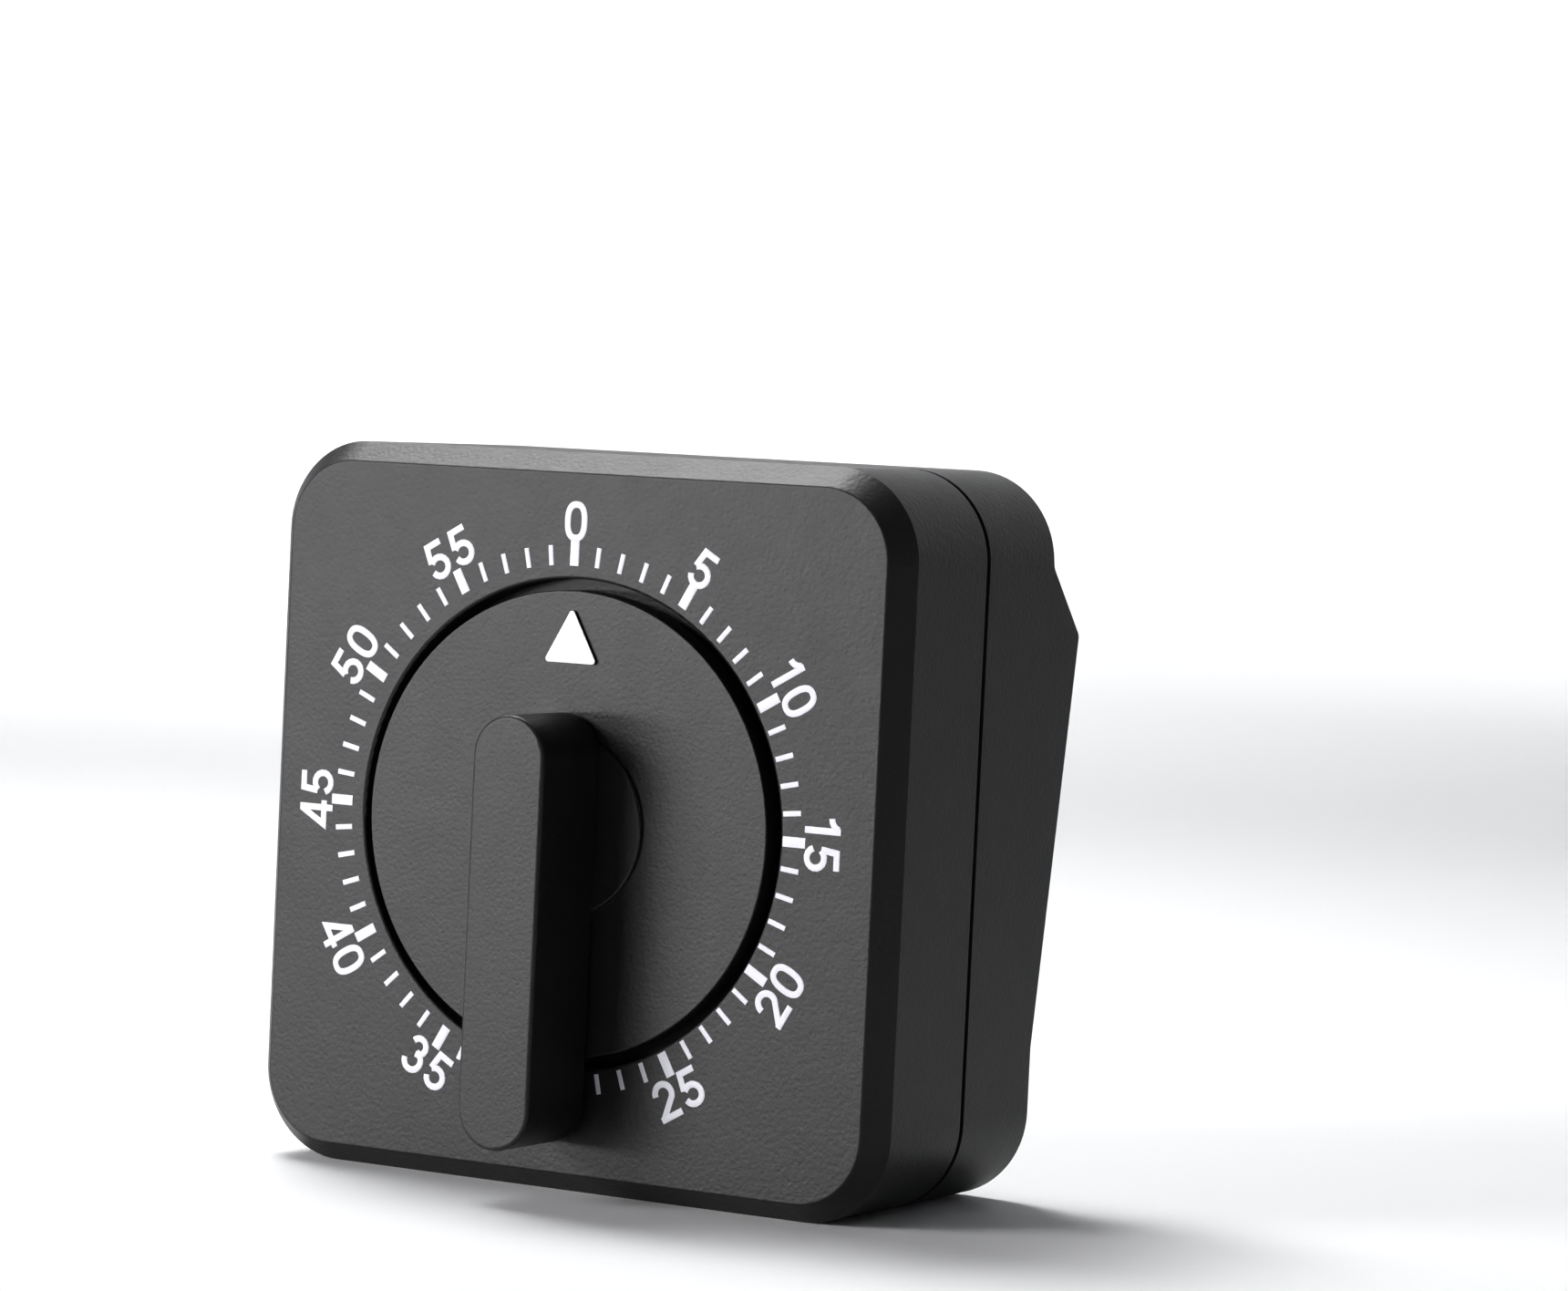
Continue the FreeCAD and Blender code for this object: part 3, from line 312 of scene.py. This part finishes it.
def digit_strokes():
    """The middle lines of the digits' strokes, as (points, closed), from the lower left of each digit."""
    edge = DIGIT_STROKE / 2
    left, right = edge, DIGIT_WIDTH - edge
    top, middle = DIGIT_HEIGHT - edge, DIGIT_WIDTH / 2
    half = (right - left) / 2
    two_bowl = arc((middle, top - 0.94), (half * 0.98, 0.94), 178, -32)
    return {
        "0": [(oval((middle, DIGIT_HEIGHT / 2), (half, DIGIT_HEIGHT / 2 - edge)), True)],
        "1": [([(1.68, DIGIT_HEIGHT), (1.68, 0.0)], False),
              (arc((0.45, 3.95), (1.12, 1.12), -88, -18, 8), False)],
        "2": [(two_bowl + [(left + 0.12, edge + 0.2), (left, edge)], False),
              ([(0.0, edge), (DIGIT_WIDTH - 0.05, edge)], False)],
        "3": [(arc((middle - 0.06, top - 0.80), (half * 0.86, 0.80), 165, -90), False),
              (arc((middle, edge + 0.84), (half, 0.84 + 0.11), 90, -168), False)],
        "4": [([(DIGIT_WIDTH, 1.02), (left - 0.12, 1.02), (1.72, DIGIT_HEIGHT - 0.12)], False),
              ([(1.80, DIGIT_HEIGHT), (1.80, 0.0)], False)],
        "5": [([(right + 0.1, top), (left + 0.33, top), (left + 0.1, 1.85)], False),
              (arc((middle - 0.02, edge + 0.92), (half, 0.92), 142, -164), False)],
    }


def strip(points, closed, width):
    """Each point of a line with the way across to its side, mitred where the line bends."""
    count = len(points)
    sides = []
    for k, (x, z) in enumerate(points):
        before = Vector(points[k - 1]) if closed or k > 0 else None
        after = Vector(points[(k + 1) % count]) if closed or k < count - 1 else None
        here = Vector((x, z))
        steps = []
        if before is not None:
            steps.append(here - before)
        if after is not None:
            steps.append(after - here)
        directions = [step.normalized() for step in steps]
        along = sum(directions, Vector((0, 0))).normalized()
        stretch = 1 / max(0.5, along.dot(directions[0]))
        across = Vector((-along.y, along.x)) * width / 2 * stretch
        sides.append((here, across))
    return sides


def add_ribbon(mesh, points, closed, width, place, ink=INK):
    """Ink along a line: raised, with rounded shoulders. place turns millimetres on the face into metres."""
    shoulder = 1 - 2 * INK_EDGE / width
    profile = [(-1.0, 0.0), (-(1 + shoulder) / 2, 0.75), (-shoulder, 1.0), (shoulder, 1.0),
               ((1 + shoulder) / 2, 0.75), (1.0, 0.0)]
    rows = []
    for here, across in strip(points, closed, width):
        row = [place(here + across * part, ink * height) for part, height in profile]
        rows.append([mesh.verts.new(corner) for corner in row])
    pairs = list(zip(rows, rows[1:]))
    if closed:
        pairs.append((rows[-1], rows[0]))
    for first, second in pairs:
        for k in range(len(profile) - 1):
            mesh.faces.new((first[k], first[k + 1], second[k + 1], second[k]))
    if not closed:
        mesh.faces.new(rows[0][::-1])
        mesh.faces.new(rows[-1])


def on_face(angle, radius, turned):
    """Where a mark's own (across, up) lies on the case's face, as a function of it and the ink's height."""
    centre = Vector((radius * math.sin(angle), radius * math.cos(angle))) + Vector(PRINT_SHIFT)
    turn = Matrix.Rotation(-angle + (math.pi if turned else 0.0), 2)

    def place(point, height):
        x, z = centre + turn @ point
        return Vector((DIAL_AXIS.x + x * MM, FACE_Y - height * MM, DIAL_AXIS.z + z * MM))
    return place


def add_number(mesh, minute):
    """A numeral, its visible width centred on its tick."""
    strokes = digit_strokes()
    digits = str(minute)
    low = ONE_INSET if digits[0] == "1" else 0.0
    high = (len(digits) - 1) * DIGIT_PITCH + DIGIT_WIDTH
    angle = 2 * math.pi * minute / MINUTES
    radius = DIGIT_MIDDLE - THIRTY_INSET if minute == 30 else DIGIT_MIDDLE
    place = on_face(angle, radius, minute in READ_FROM_INSIDE)
    for k, digit in enumerate(digits):
        for layer, (points, closed) in enumerate(strokes[digit]):
            moved = [(x + k * DIGIT_PITCH - (low + high) / 2, z - DIGIT_HEIGHT / 2) for x, z in points]
            add_ribbon(mesh, moved, closed, DIGIT_STROKE, place, INK + INK_STEP * layer)


def mesh_object(name, mesh, material, smooth_angle):
    """A piece from a bmesh, shaded smooth where its faces meet at less than this many degrees."""
    data = bpy.data.meshes.new(name)
    bmesh.ops.recalc_face_normals(mesh, faces=mesh.faces)
    mesh.to_mesh(data)
    mesh.free()
    data.materials.append(material)
    data.polygons.foreach_set("use_smooth", [True] * len(data.polygons))
    data.set_sharp_from_angle(angle=math.radians(smooth_angle))
    piece = bpy.data.objects.new(name, data)
    bpy.context.scene.collection.objects.link(piece)
    return piece


def print_scale():
    """Sixty radial marks with square ends, and a number at every fifth, as ink that rides the case."""
    ink = painted("scale_white_ink", (0.63, 0.63, 0.68), 0.45, 0.004 * MM)
    ticks, numbers = bmesh.new(), bmesh.new()
    for minute in range(MINUTES):
        angle = 2 * math.pi * minute / MINUTES
        place = on_face(angle, 0.0, False)
        if minute % 5:
            add_ribbon(ticks, [(0.0, TICK_INNER), (0.0, TICK_OUTER)], False, TICK_WIDTH, place)
        else:
            line = [(0.0, LONG_TICK_INNER), (0.0, LONG_TICK_OUTER)]
            add_ribbon(ticks, line, False, LONG_TICK_WIDTH, place)
            add_number(numbers, minute)
    for name, mesh in (("minute_ticks", ticks), ("minute_numerals", numbers)):
        piece = mesh_object(name, mesh, ink, 40)
        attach(piece, "root")


# Studio --------------------------------------------------------------------------------------------------

def direction(azimuth, elevation):
    """Unit vector towards this azimuth, 0 in front of the dial and 90 to its right, and elevation."""
    a, e = math.radians(azimuth), math.radians(elevation)
    return Vector((math.sin(a) * math.cos(e), -math.cos(a) * math.cos(e), math.sin(e)))


def stage():
    """A pale floor that curves up into a wall all round."""
    profile = [(0.0, 0.0), (0.25, 0.0)]
    flat = BOWL_RADIUS - BOWL_CURVE
    for k in range(17):
        angle = math.pi / 2 * k / 16
        profile.append((flat + BOWL_CURVE * math.sin(angle), BOWL_CURVE * (1 - math.cos(angle))))
    profile.append((BOWL_RADIUS, BOWL_HEIGHT))
    mesh = bmesh.new()
    sides = 96
    middle = mesh.verts.new((0, 0, 0))
    rings = []
    for radius, height in profile[1:]:
        turns = [2 * math.pi * k / sides for k in range(sides)]
        rings.append([mesh.verts.new((radius * math.cos(t), radius * math.sin(t), height)) for t in turns])
    for k in range(sides):
        following = (k + 1) % sides
        mesh.faces.new((middle, rings[0][k], rings[0][following]))
        for low, high in zip(rings, rings[1:]):
            mesh.faces.new((low[k], high[k], high[following], low[following]))
    floor = mesh_object("studio_floor", mesh, paper("studio_paper", (0.80, 0.805, 0.812)), 60)
    turn_upwards(floor)


def turn_upwards(piece):
    """The stage is open above, so its normals are turned to its inside."""
    if piece.data.polygons[0].normal.z < 0:
        piece.data.flip_normals()


def softbox(name, azimuth, elevation, distance, size, power, colour=(1, 1, 1), aim=None, grid=180):
    """A lamp of (width, height) that faces the object or aim, with light held to its grid's angle."""
    lamp = bpy.data.lights.new(name, "AREA")
    lamp.shape = "RECTANGLE"
    lamp.size, lamp.size_y = size
    lamp.energy = power
    lamp.color = colour
    lamp.spread = math.radians(grid)
    centre = Vector((0, 0, CASE_HIGH.z / 2))
    holder = bpy.data.objects.new(name, lamp)
    holder.location = centre + direction(azimuth, elevation) * distance
    target = centre if aim is None else Vector(aim)
    holder.rotation_euler = (holder.location - target).to_track_quat("Z", "Y").to_euler()
    holder.visible_camera = False
    bpy.context.scene.collection.objects.link(holder)


def lights():
    softbox("key_low_strip", -32, -1, 0.8, (0.5, 0.08), 3.2, (1.0, 0.99, 1.0))
    softbox("key_front_left", -38, 18, 1.0, (0.4, 0.3), 0.78, (1.0, 0.99, 1.0), grid=60)
    softbox("top_left", -108, 58, 0.9, (0.3, 0.3), 0.16, grid=40)
    softbox("pool_left", -120, 65, 1.1, (0.4, 0.4), 1.7, aim=(-0.25, 0.1, 0), grid=70)
    softbox("backdrop_left", -120, 40, 1.0, (0.6, 0.4), 5.2, aim=(-0.9, 1.3, 0.1), grid=130)
    softbox("backdrop_middle", 180, 50, 0.9, (0.6, 0.4), 7.6, aim=(-0.2, 1.8, 0.5), grid=110)
    softbox("floor_behind", 180, 60, 1.3, (0.8, 0.6), 0.85, aim=(0.2, 1.0, 0), grid=120)
    world = bpy.data.worlds.new("studio")
    world.use_nodes = True
    background = world.node_tree.nodes["Background"]
    background.inputs["Color"].default_value = (0.93, 0.95, 1.0, 1.0)
    background.inputs["Strength"].default_value = 0.03
    bpy.context.scene.world = world


def camera():
    lens = bpy.data.cameras.new("camera")
    lens.sensor_width = 36.0
    lens.lens = LENS
    lens.clip_start = 0.01
    lens.clip_end = 20.0
    holder = bpy.data.objects.new("camera", lens)
    back = direction(AZIMUTH, ELEVATION)
    level_right = Vector((0, 0, 1)).cross(back).normalized()
    level_up = back.cross(level_right)
    roll = math.radians(ROLL)
    up = level_up * math.cos(roll) + level_right * math.sin(roll)
    right = up.cross(back)
    turn = Matrix((right, up, back)).transposed()
    holder.matrix_world = Matrix.Translation(AIM + back * DISTANCE) @ turn.to_4x4()
    bpy.context.scene.collection.objects.link(holder)
    bpy.context.scene.camera = holder


finish_nodes()
print_scale()
stage()
lights()
camera()
bpy.context.scene.view_settings.view_transform = "Standard"
bpy.context.scene.view_settings.look = "Medium High Contrast"
